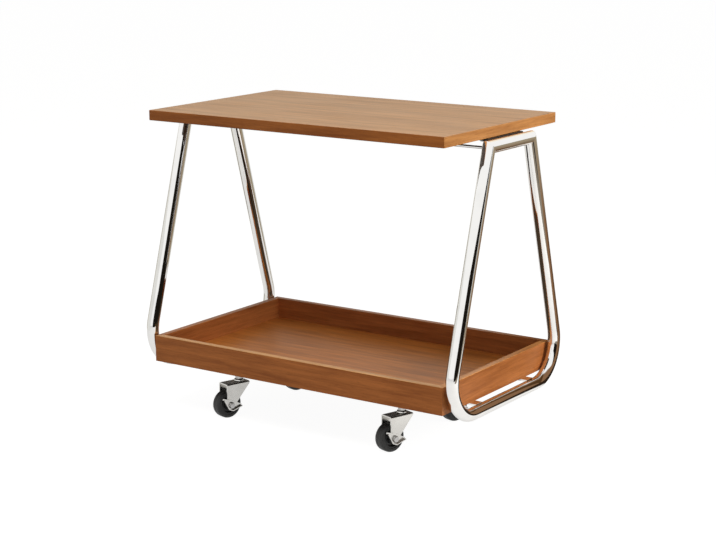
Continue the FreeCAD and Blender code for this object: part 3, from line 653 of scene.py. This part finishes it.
class SIDETABLE_OT_side_frames(bpy.types.Operator):
    """The two closed loops of chrome tube, bent at the foot and mitred at the top"""
    bl_idname = "side_table.side_frames"
    bl_label = "Side frames"

    def execute(self, context):
        frames = context.scene.side_table_frames
        tree, labels = sweep_tree()
        radius, top, foot = frames.tube_radius, frames.shoulder_width / 2, frames.foot_width / 2
        for side in SIDES:
            node = f"{side}_frame_tube"
            low, high = (Vector(corner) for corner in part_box(node))
            plane, roof, ground = (low.x + high.x) / 2, high.z - radius, low.z + radius
            outline = rounded([(top, roof), (foot, ground), (-foot, ground), (-top, roof)],
                              (0, frames.foot_bend, frames.foot_bend, 0), frames.bend_steps, closed=True)
            points = [(plane, y, z) for y, z in outline]
            edges = [(index, (index + 1) % len(points)) for index in range(len(points))]
            item = grown(f"{side}_tube_loop", tree, labels, {
                "Tube Radius": radius, "Round Steps": frames.round_steps, "Finish": finish("frame_chrome")},
                points, edges)
            turn = math.pi / 2 - math.atan2(foot - top, roof - ground)
            self.square_mitres(item.data, [Vector((plane, end * top, roof)) for end in (-1, 1)],
                               radius, 1 / math.cos(turn / 2), frames.mitre_edge)
            add_modifiers(item, (EVEN_NORMALS,))
            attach(item, "frame")
            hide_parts(node)
        return {"FINISHED"}

    def square_mitres(self, mesh, corners, radius, stretch, edge_width):
        """Draw the rings at the mitres out to where the two tubes meet, and round the meeting edge."""
        bm = bmesh.new()
        bm.from_mesh(mesh)
        rings = set()
        on_ring = radius * 1.01
        for vert in bm.verts:
            for corner in corners:
                reach = vert.co - corner
                if reach.length < on_ring:
                    vert.co = corner + Vector((reach.x, reach.y * stretch, reach.z * stretch))
                    rings.add(vert)
        soften(bm, [edge for edge in bm.edges if set(edge.verts) <= rings], edge_width)
        bmesh.ops.recalc_face_normals(bm, faces=bm.faces)
        mark_edges(bm, TUBE_CRISP)
        bm.to_mesh(mesh)
        bm.free()


class SIDETABLE_OT_fittings(bpy.types.Operator):
    """The tie rods, plates, rails and their screws"""
    bl_idname = "side_table.fittings"
    bl_label = "Rods, plates and rails"

    def execute(self, context):
        for end in ("front", "rear"):
            low, high = (Vector(corner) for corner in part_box(f"{end}_tie_rod"))
            radius = (high.z - low.z) / 2
            bead, reach = radius * 1.45, high.x
            weld = [(0.0, reach), (radius, reach), (bead, reach - 0.4 * MM), (bead, reach - 1.4 * MM),
                    (radius * 1.2, reach - 2.2 * MM), (radius, reach - 3 * MM), (radius, reach - 6 * MM)]
            place = Matrix.Translation((0, (low.y + high.y) / 2, (low.z + high.z) / 2))
            rod = lathe(mirrored(weld), segments=40)
            add_piece(f"{end}_rod", rod, ("frame_chrome",), "frame", f"{end}_tie_rod",
                      place @ Matrix.Rotation(math.radians(90), 4, "Y"))
        dress(("left_top_plate", "right_top_plate", "front_rail", "rear_rail"), "dark_paint")
        dress(("foot_tabs",), "frame_chrome")
        dress(("top_screws", "tray_screws", "rail_nuts"), "zinc_steel")
        return {"FINISHED"}


# Casters

def caster_place(corner):
    """The matrix from a caster's own axes, trailing along X with its axle along Y, to the table's."""
    stem = Vector(JOINTS[f"{corner}_swivel"]["pos_m"])
    stem.z = 0
    axle = JOINTS[f"{corner}_wheel_spin"]["axis"]
    return Matrix.Translation(stem) @ Matrix.Rotation(math.atan2(-axle[0], axle[1]), 4, "Z")


def axle_place(corner):
    """The same, moved out to the axle's middle."""
    turn = caster_place(corner).to_3x3().to_4x4()
    return Matrix.Translation(JOINTS[f"{corner}_wheel_spin"]["pos_m"]) @ turn


ALONG_AXLE = Matrix.Rotation(math.radians(-90), 4, "X")
AXLE = Vector(JOINTS["front_left_wheel_spin"]["pos_m"])
SWIVEL = Vector(JOINTS["front_left_swivel"]["pos_m"])
AXLE_HEIGHT, CROWN = AXLE.z, SWIVEL.z
TRAIL = (AXLE.xy - SWIVEL.xy).length
HEX_WIDTH, HEX_EDGE = 10 * MM, 0.5 * MM
BOLT_RADIUS, BOLT_CHAMFER = 3 * MM, 0.5 * MM
BOLT_HEAD, BOLT_END, NUT_HEIGHT = 4 * MM, 6.5 * MM, 5 * MM
# Room between the fork and the pedal, and under the bolt's head
PEDAL_PLAY, HEAD_PLAY = 0.3 * MM, 0.6 * MM
PEDAL_FOLD, SHEET_EDGE = 1.2 * MM, 0.3 * MM


def fork_mesh(casters):
    """The outer skin of the folded fork: rows across the sheet, each cut to the cheek's outline."""
    half, fold, eye = casters.fork_width / 2, casters.fork_fold, casters.fork_eye
    lead, rear = -casters.fork_lead, TRAIL + casters.fork_tail
    knee = Vector((lead, CROWN - casters.fork_skirt))
    to_eye = Vector((TRAIL, AXLE_HEIGHT)) - knee
    swing = math.atan2(to_eye.y, to_eye.x) - math.asin(eye / to_eye.length)
    reach = math.sqrt(to_eye.length_squared - eye ** 2)
    touch = knee + Vector((math.cos(swing), math.sin(swing))) * reach

    def span(height):
        drop = max(-1.0, min(1.0, (height - AXLE_HEIGHT) / eye))
        bulge = eye * math.sqrt(max(0.0, 1 - drop * drop))
        if height >= knee.y:
            front = lead
        elif height >= touch.y:
            front = knee.x + (touch.x - knee.x) * (knee.y - height) / (knee.y - touch.y)
        else:
            front = TRAIL - bulge
        if height >= AXLE_HEIGHT:
            back = TRAIL + eye + (rear - TRAIL - eye) * (height - AXLE_HEIGHT) / (CROWN - AXLE_HEIGHT)
        else:
            back = TRAIL + bulge
        return front, back

    heights = [AXLE_HEIGHT - eye * math.cos(math.radians(turn)) for turn in (6, 20, 35, 50, 65, 80)]
    steps = 9
    shoulder = CROWN - fold
    heights += [AXLE_HEIGHT + (knee.y - AXLE_HEIGHT) * step / steps for step in range(steps + 1)]
    heights += [knee.y + (shoulder - knee.y) * share for share in (0.5, 1.0)]
    cheek = [(half, height) for height in heights]
    bend = [(half - fold + fold * math.cos(turn), shoulder + fold * math.sin(turn))
            for turn in (math.radians(angle) for angle in (18, 36, 54, 72, 90))]
    right = cheek + bend
    section = right + [(-v, w) for v, w in reversed(right)]
    columns = 8
    bm = bmesh.new()
    rows = []
    for v, w in section:
        front, back = span(w)
        rows.append([bm.verts.new((front + (back - front) * index / columns, v, w))
                     for index in range(columns + 1)])
    for low, high in zip(rows, rows[1:]):
        for index in range(columns):
            bm.faces.new((low[index], low[index + 1], high[index + 1], high[index]))
    bm.normal_update()
    crown = max(bm.faces, key=lambda face: face.calc_center_median().z)
    if crown.normal.z < 0:
        bmesh.ops.reverse_faces(bm, faces=bm.faces)
    return bm


def sheet_metal(thickness):
    """Modifiers that give a skin its thickness inwards and ease its cut edges."""
    inwards = {"thickness": thickness, "offset": -1.0, "use_even_offset": True}
    eased = {"width": SHEET_EDGE, "segments": 2, "limit_method": "ANGLE", "angle_limit": math.radians(50)}
    return ("SOLIDIFY", inwards), ("BEVEL", eased), EVEN_NORMALS


def hexagon_head(low, high):
    """A hexagon head with chamfered corners, upright."""
    corner = HEX_WIDTH / math.sqrt(3)
    turns = [math.radians(60 * side) for side in range(6)]
    bm = prism([(corner * math.cos(turn), corner * math.sin(turn)) for turn in turns], low, high)
    soften(bm, [edge for edge in bm.edges if not is_upright(edge)], HEX_EDGE, 2)
    return bm


def merged(first, second):
    """Two meshes in one."""
    spare = bpy.data.meshes.new("spare")
    second.to_mesh(spare)
    second.free()
    first.from_mesh(spare)
    bpy.data.meshes.remove(spare)
    return first


class SIDETABLE_OT_casters(bpy.types.Operator):
    """The stems, swivel races, forks and axle bolts"""
    bl_idname = "side_table.casters"
    bl_label = "Casters"

    def execute(self, context):
        casters = context.scene.side_table_casters
        half = casters.fork_width / 2
        stem, pressing = self.stem_profile(), self.race_profile()
        head = half + casters.pedal_sheet + HEAD_PLAY
        tail = -(half + BOLT_END)
        shank = [(0, tail), (BOLT_RADIUS - BOLT_CHAMFER, tail), (BOLT_RADIUS, tail + BOLT_CHAMFER),
                 (BOLT_RADIUS, head), (0, head)]
        for corner in CORNERS:
            place, axle = caster_place(corner), axle_place(corner) @ ALONG_AXLE
            body = f"{corner}_caster"
            add_piece(f"{corner}_neck", lathe(stem), ("zinc_steel",), "frame", f"{corner}_stem",
                      place)
            add_piece(f"{corner}_race", lathe(pressing, closed=True), ("bright_plate",), "frame",
                      f"{corner}_race_cup", place)
            add_piece(f"{corner}_fork_sheet", fork_mesh(casters), ("bright_plate",), body,
                      f"{corner}_fork", place, sheet_metal(casters.fork_sheet))
            bolt = merged(hexagon_head(head, head + BOLT_HEAD), lathe(shank, segments=32))
            add_piece(f"{corner}_axle", bolt, ("zinc_steel",), body, f"{corner}_axle_bolt",
                      axle)
            nut = hexagon_head(-half - NUT_HEIGHT, -half)
            add_piece(f"{corner}_nut", nut, ("zinc_steel",), body, f"{corner}_axle_nut",
                      axle)
            dress((f"{corner}_race_balls", f"{corner}_wheel_bush"), "zinc_steel")
        return {"FINISHED"}

    def stem_profile(self):
        """From the riveted foot under the race, through the collar below the rail, to the threaded end."""
        low, high = (corner[2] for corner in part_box("front_left_stem"))
        cup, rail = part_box("front_left_race_cup")[1][2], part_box("front_rail")[0][2]
        foot, neck, collar, thread = 6.2 * MM, 4 * MM, 6.5 * MM, 5 * MM
        easing = 0.4 * MM
        return [(0, low), (foot - MM, low), (foot, low + 0.6 * MM), (foot, low + 1.4 * MM),
                (neck, low + 1.5 * MM), (neck, cup), (collar - easing, cup), (collar, cup + easing),
                (collar, rail - easing), (collar - easing, rail), (thread, rail), (thread, high - MM),
                (thread - MM, high), (0, high)]

    def race_profile(self):
        """The pressed cup over the balls, as a ring round the stem."""
        low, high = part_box("front_left_race_cup")
        wide, rim, roof = (high[0] - low[0]) / 2, low[2], high[2]
        hole, flat, sheet, draft, easing = 4.1 * MM, 6.5 * MM, 1.5 * MM, 0.1 * MM, 0.5 * MM
        return [(hole, roof - sheet), (wide - sheet - draft, roof - sheet), (wide - sheet, rim),
                (wide - easing, rim), (wide, rim + easing), (wide - draft, roof - 1.9 * MM),
                (wide - 0.5 * MM, roof - 1.0 * MM), (wide - 1.2 * MM, roof - 0.4 * MM),
                (wide - 2.2 * MM, roof - 0.1 * MM), (flat, roof), (hole, roof)]


class SIDETABLE_OT_wheels(bpy.types.Operator):
    """The black tyres and their moulded hubs"""
    bl_idname = "side_table.wheels"
    bl_label = "Wheels"

    def execute(self, context):
        tread, side, seam = (TYRE_HIGH[2] - TYRE_LOW[2]) / 2, 10 * MM, 0.12 * MM
        tyre = mirrored([
            (18 * MM, 9.6 * MM), (18.3 * MM, side), (20.6 * MM, side), (22.2 * MM, 9.7 * MM),
            (23.4 * MM, 9.0 * MM), (24.3 * MM, 7.9 * MM), (24.8 * MM, 6.4 * MM), (tread, 4.4 * MM),
            (tread, 0.35 * MM), (tread - seam, seam)])
        boss, web, rim = 10.6 * MM, 4 * MM, 8.8 * MM
        hub = mirrored([
            (4.3 * MM, boss), (8.4 * MM, boss), (9 * MM, 10.0 * MM), (9.3 * MM, 4.8 * MM), (10.2 * MM, web),
            (14 * MM, web), (14.8 * MM, 4.8 * MM), (15 * MM, 8.4 * MM), (15.4 * MM, rim), (17.9 * MM, rim)])
        for corner in CORNERS:
            place = axle_place(corner) @ ALONG_AXLE
            body = f"{corner}_wheel"
            add_piece(f"{corner}_tread", lathe(tyre, segments=96, closed=True), ("black_tyre",), body,
                      f"{corner}_tyre", place)
            add_piece(f"{corner}_hub", lathe(hub, closed=True), ("black_plastic",), body,
                      f"{corner}_wheel_hub", place)
        return {"FINISHED"}


class SIDETABLE_OT_brake_pedals(bpy.types.Operator):
    """The stamped brake pedals"""
    bl_idname = "side_table.brake_pedals"
    bl_label = "Brake pedals"

    def execute(self, context):
        casters = context.scene.side_table_casters
        face = casters.fork_width / 2 + PEDAL_PLAY
        lip = face + casters.pedal_sheet + casters.pedal_ledge
        reach, waist, turn = 21 * MM, 5 * MM, 4 * MM
        low_edge = rounded([(-reach, 4 * MM), (-waist, -9 * MM), (waist, -9 * MM), (reach, 4 * MM)],
                           (0, turn, turn, 0), steps=5)
        upper = [(reach, 7 * MM), (waist, 8.5 * MM), (-waist, 8.5 * MM), (-reach, 7 * MM)]
        tip = Matrix.Rotation(-casters.pedal_rest, 4, "Y")
        for corner in CORNERS:
            bm = bmesh.new()
            folded = [bm.verts.new((x, face, z)) for x, z in low_edge]
            rest = [bm.verts.new((x, face, z)) for x, z in upper]
            plate = bm.faces.new(folded + rest)
            ledge = [bm.verts.new((x, lip, z)) for x, z in low_edge]
            for index in range(len(folded) - 1):
                bm.faces.new((folded[index], folded[index + 1], ledge[index + 1], ledge[index]))
            bmesh.ops.recalc_face_normals(bm, faces=bm.faces)
            if plate.normal.y > 0:
                bmesh.ops.reverse_faces(bm, faces=bm.faces)
            fold = [edge for edge in bm.edges if plate in edge.link_faces and len(edge.link_faces) == 2]
            soften(bm, fold, PEDAL_FOLD)
            add_piece(f"{corner}_pedal_sheet", bm, ("bright_plate",), f"{corner}_pedal",
                      f"{corner}_brake_pedal", axle_place(corner) @ tip,
                      sheet_metal(casters.pedal_sheet))
        return {"FINISHED"}


# Stage

CAMERA_PLACE = (1.68413, -2.48192, 0.93089)
CAMERA_YAW, CAMERA_PITCH = math.radians(-33.94), math.radians(12.46)
CAMERA_LENS, CAMERA_SENSOR = 87.48, 36.0
WHITE = (1.0, 1.0, 1.0)

# The floor as the camera sees it: a glow just under white, and the rest of the lit floor for its shadow
FLOOR_REACH = 14.0
FLOOR_GLOW, GLOW_SHARE = 0.95, 0.5
# The share of that glow in what bright metal mirrors
MIRRORED_SHARE = 0.34

# Lamps: place, target, size and tint
LAMPS = {
    "key": ((1.30, 0.14, 0.66), (0.2, 0.0, 0.28), 0.5, (1.0, 0.97, 0.93)),
    "sky": ((0.35, -1.22, 2.35), (0.0, 0.0, 0.3), 1.3, WHITE),
}

# Cards bent round a centre: centre, radius, sweep in degrees, levels, tint and, on some, their fade
# Their glow is a painted reflection, seen in the chrome and in the lacquer
BLACK = (0.010, 0.008, 0.006)
BY_RIGHT_FRAME = ((0.313, -0.02), 0.30)
BROWN_LEVELS, BROWN_FADE = (0.09, 0.50), (0.33, 0.50)
MIDDLE = (0.0, 0.0)
BENT_CARDS = {
    "dark_card": ((0.313, -0.15), 1.08, (-42, 24), (0.0, 0.56), BLACK),
    "beige_card": ((0.313, -0.05), 0.85, (26, 118), (0.0, 0.55), (0.36, 0.30, 0.21)),
    # By the right frame: painted reflections of the tray's wood
    "brown_card": (*BY_RIGHT_FRAME, (42, 69), BROWN_LEVELS, (0.25, 0.135, 0.070), BROWN_FADE),
    "seam_card": (*BY_RIGHT_FRAME, (69, 80), BROWN_LEVELS, (0.085, 0.042, 0.016), BROWN_FADE),
    "far_card": (*BY_RIGHT_FRAME, (80, 112), BROWN_LEVELS, (0.21, 0.115, 0.060), BROWN_FADE),
    "low_card": (*BY_RIGHT_FRAME, (42, 112), (0.004, 0.09), (0.030, 0.018, 0.010)),
    "grey_card": (MIDDLE, 1.0, (125, 200), (0.0, 0.54), (0.76, 0.74, 0.68)),
    "pale_card": (MIDDLE, 1.0, (200, 244), (0.0, 0.54), (0.80, 0.80, 0.78)),
    "strip_card": (MIDDLE, 0.95, (168, 180), (0.0, 0.54), (0.10, 0.085, 0.07), (0.34, 0.54)),
    # A painted warm sheen on the top's lacquer
    "warm_card": (MIDDLE, 1.6, (85, 160), (0.57, 2.4), (1.0, 0.90, 0.72)),
}

# Upright cards facing left: place in X, reach in Y, levels and tint
SIDE_PLANE = -0.10
SIDE_CARDS = {
    # Dark sheets seen only in reflections: painted dark reflections, and those under the top a painted shade
    # of the table
    "side_card": (SIDE_PLANE, (-0.40, -0.185), (0.13, 0.64), BLACK),
    "side_foot_card": (SIDE_PLANE, (-0.52, -0.40), (0.13, 0.29), BLACK),
    "under_card": (SIDE_PLANE, (-0.185, -0.13), (0.13, 0.52), BLACK),
    "step_card": (SIDE_PLANE, (-0.13, 0.0), (0.13, 0.24), (0.014, 0.010, 0.007)),
}

# Level cards facing up: two corners, level and tint
LEVEL_CARDS = {
    # A dark sheet just over the tray's floor and another under the top: painted shade that reflections see
    "tray_card": ((-0.20, -0.169), (0.286, 0.169), WALL_LOW[2] + 12 * MM, (0.055, 0.036, 0.022)),
    "shelf_card": ((-0.16, -0.21), (0.06, -0.02), 0.24, (0.018, 0.012, 0.008)),
    "ground_card": ((0.95, -0.45), (2.0, 1.4), 4 * MM, (0.27, 0.23, 0.18)),
}

# Flags that keep some of the lamps' light out of the tray: place in X, reach in Y and levels
FLAGS = {
    "tray_flag": (0.345, (-0.28, 0.30), (0.35, 0.50)),
    "rim_flag": (0.283, (-0.165, 0.165), (0.15, 0.21)),
}


def light_path(start, *kinds):
    """One where any of these kinds of ray is looking, and zero elsewhere."""
    rays = start.make("ShaderNodeLightPath", kinds[0])
    seen = rays
    for kind in kinds[1:]:
        seen = seen.either(Wire(start.tree, rays.socket.node.outputs[kind]))
    return seen


def hide_from(item, *rays):
    for ray in rays:
        setattr(item, f"visible_{ray}", False)


def add_lamp(name, place, target, size, tint, power):
    lamp = bpy.data.lights.new(name, "AREA")
    lamp.shape = "RECTANGLE"
    lamp.size = lamp.size_y = size
    lamp.energy = power
    lamp.color = tint
    item = add_object(name, lamp)
    item.location = place
    item.rotation_euler = (Vector(target) - Vector(place)).to_track_quat("-Z", "Y").to_euler()
    hide_from(item, "glossy")


def polygon(points):
    """A mesh of one face."""
    bm = bmesh.new()
    bm.faces.new([bm.verts.new(point) for point in points])
    return bm


def level_face(low, high, level):
    """A rectangle facing up."""
    return polygon([(x, y, level) for x, y in rectangle(low, high)])


def side_face(place, reach, levels):
    """An upright rectangle facing left."""
    (near, far), (low, high) = reach, levels
    return polygon([(place, near, low), (place, near, high), (place, far, high), (place, far, low)])


def bent_face(centre, radius, sweep, levels, steps=24):
    """An upright strip bent round a centre and facing it."""
    bm = bmesh.new()
    first, last = (math.radians(angle) for angle in sweep)
    turns = [first + (last - first) * step / steps for step in range(steps + 1)]
    spots = [(centre[0] + radius * math.cos(turn), centre[1] + radius * math.sin(turn)) for turn in turns]
    low, high = ([bm.verts.new((x, y, level)) for x, y in spots] for level in levels)
    for index in range(steps):
        bm.faces.new((high[index], high[index + 1], low[index + 1], low[index]))
    return bm


def add_card(name, bm, tint, fade=None):
    """A glowing card that only reflections see, and only from its front: a painted reflection for bright
    metal and lacquer to mirror.

    A fade is the two heights between which the card thins out to nothing."""
    material, start, shader = new_material(name)
    solid = 1.0 - start.make("ShaderNodeNewGeometry", "Backfacing")
    if fade:
        spot = start.make("ShaderNodeTexCoord", "Object")
        level = start.make("ShaderNodeSeparateXYZ", "Z", None, {"Vector": spot})
        solid = solid * level.spread(*fade, 1.0, 0.0)
    feed(start, shader, Base_Color=(0.0, 0.0, 0.0, 1.0), Roughness=1.0, Specular_IOR_Level=0.0,
         Emission_Color=shade(tint), Emission_Strength=1.0, Alpha=solid)
    mesh = to_mesh(name, bm)
    mesh.materials.append(material)
    item = add_object(name, mesh)
    hide_from(item, "camera", "diffuse", "shadow", "transmission")


def add_flag(name, bm):
    """A flag that only keeps a lamp's light off what is behind it."""
    mesh = to_mesh(name, bm)
    mesh.materials.append(new_material(name)[0])
    item = add_object(name, mesh)
    hide_from(item, "camera", "diffuse", "glossy", "transmission")


class SIDETABLE_OT_stage(bpy.types.Operator):
    """The floor, the lamps, the cards, the world and the camera"""
    bl_idname = "side_table.stage"
    bl_label = "Stage"

    def execute(self, context):
        scene = context.scene
        stage = scene.side_table_stage
        scene.view_settings.view_transform = "Standard"
        self.add_floor(stage)
        self.add_world(scene, stage)
        for name, lamp in LAMPS.items():
            add_lamp(f"{name}_lamp", *lamp, power=getattr(stage, name))
        for name, (*shape, tint) in {**SIDE_CARDS, **LEVEL_CARDS}.items():
            face = side_face if name in SIDE_CARDS else level_face
            add_card(name, face(*shape), tint)
        for name, (centre, radius, sweep, levels, *look) in BENT_CARDS.items():
            add_card(name, bent_face(centre, radius, sweep, levels), *look)
        for name, shape in FLAGS.items():
            add_flag(name, side_face(*shape))
        self.add_camera(scene)
        return {"FINISHED"}

    def add_floor(self, stage):
        mesh = to_mesh("floor", level_face((-FLOOR_REACH, -FLOOR_REACH), (FLOOR_REACH, FLOOR_REACH), 0))
        material, start, shader = new_material("pale_floor")
        feed(start, shader, Base_Color=shade(stage.floor), Roughness=0.9, Specular_IOR_Level=0.0)
        glow = start.make("ShaderNodeEmission", 0, None,
                          {"Color": shade(WHITE), "Strength": FLOOR_GLOW / GLOW_SHARE})
        seen = light_path(start, "Is Camera Ray", "Is Transmission Ray") * GLOW_SHARE
        in_metal = light_path(start, "Is Glossy Ray") * MIRRORED_SHARE
        lit = Wire(start.tree, shader.outputs["BSDF"])
        shown = start.make("ShaderNodeMixShader", 0, None, {0: seen + in_metal, 1: lit, 2: glow})
        output = start.tree.nodes["Material Output"]
        start.tree.links.new(shown.socket, output.inputs["Surface"])
        mesh.materials.append(material)
        add_object("floor", mesh)

    def add_world(self, scene, stage):
        world = bpy.data.worlds.new("studio")
        scene.world = world
        world.use_nodes = True
        start = Wire(world.node_tree)
        seen = light_path(start, "Is Camera Ray", "Is Glossy Ray", "Is Transmission Ray")
        background = world.node_tree.nodes["Background"]
        background.inputs["Color"].default_value = shade(WHITE)
        strength = stage.fill + seen * (1.0 - stage.fill)
        world.node_tree.links.new(strength.socket, background.inputs["Strength"])

    def add_camera(self, scene):
        camera = bpy.data.cameras.new("camera")
        camera.sensor_fit = "HORIZONTAL"
        camera.sensor_width = CAMERA_SENSOR
        camera.lens = CAMERA_LENS
        item = add_object("camera", camera)
        flat = math.cos(CAMERA_PITCH)
        ahead = Vector((math.sin(CAMERA_YAW) * flat, math.cos(CAMERA_YAW) * flat, -math.sin(CAMERA_PITCH)))
        item.location = CAMERA_PLACE
        item.rotation_euler = ahead.to_track_quat("-Z", "Y").to_euler()
        scene.camera = item


class SIDETABLE_PT_panel(bpy.types.Panel):
    """The table's settings and the steps that build it"""
    bl_idname = "SIDETABLE_PT_panel"
    bl_label = "Side table"
    bl_space_type = "VIEW_3D"
    bl_region_type = "UI"
    bl_category = "Side table"

    def draw(self, context):
        for name in GROUPS:
            settings = getattr(context.scene, name)
            box = self.layout.box()
            for key in settings.__annotations__:
                box.prop(settings, key)
        for operator in OPERATORS:
            self.layout.operator(operator.bl_idname)


GROUPS = {
    "side_table_boards": BoardSettings,
    "side_table_frames": FrameSettings,
    "side_table_casters": CasterSettings,
    "side_table_stage": StageSettings,
}
OPERATORS = (SIDETABLE_OT_stage, SIDETABLE_OT_top, SIDETABLE_OT_tray, SIDETABLE_OT_side_frames,
             SIDETABLE_OT_fittings, SIDETABLE_OT_casters, SIDETABLE_OT_wheels, SIDETABLE_OT_brake_pedals)


def register():
    for item in (*GROUPS.values(), *OPERATORS, SIDETABLE_PT_panel):
        bpy.utils.register_class(item)
    for name, group in GROUPS.items():
        setattr(bpy.types.Scene, name, PointerProperty(type=group))


def unregister():
    for name in GROUPS:
        delattr(bpy.types.Scene, name)
    for item in reversed((*GROUPS.values(), *OPERATORS, SIDETABLE_PT_panel)):
        bpy.utils.unregister_class(item)


def main():
    register()
    for operator in OPERATORS:
        getattr(bpy.ops.side_table, operator.bl_idname.split(".")[1])()


if __name__ == "__main__":
    main()
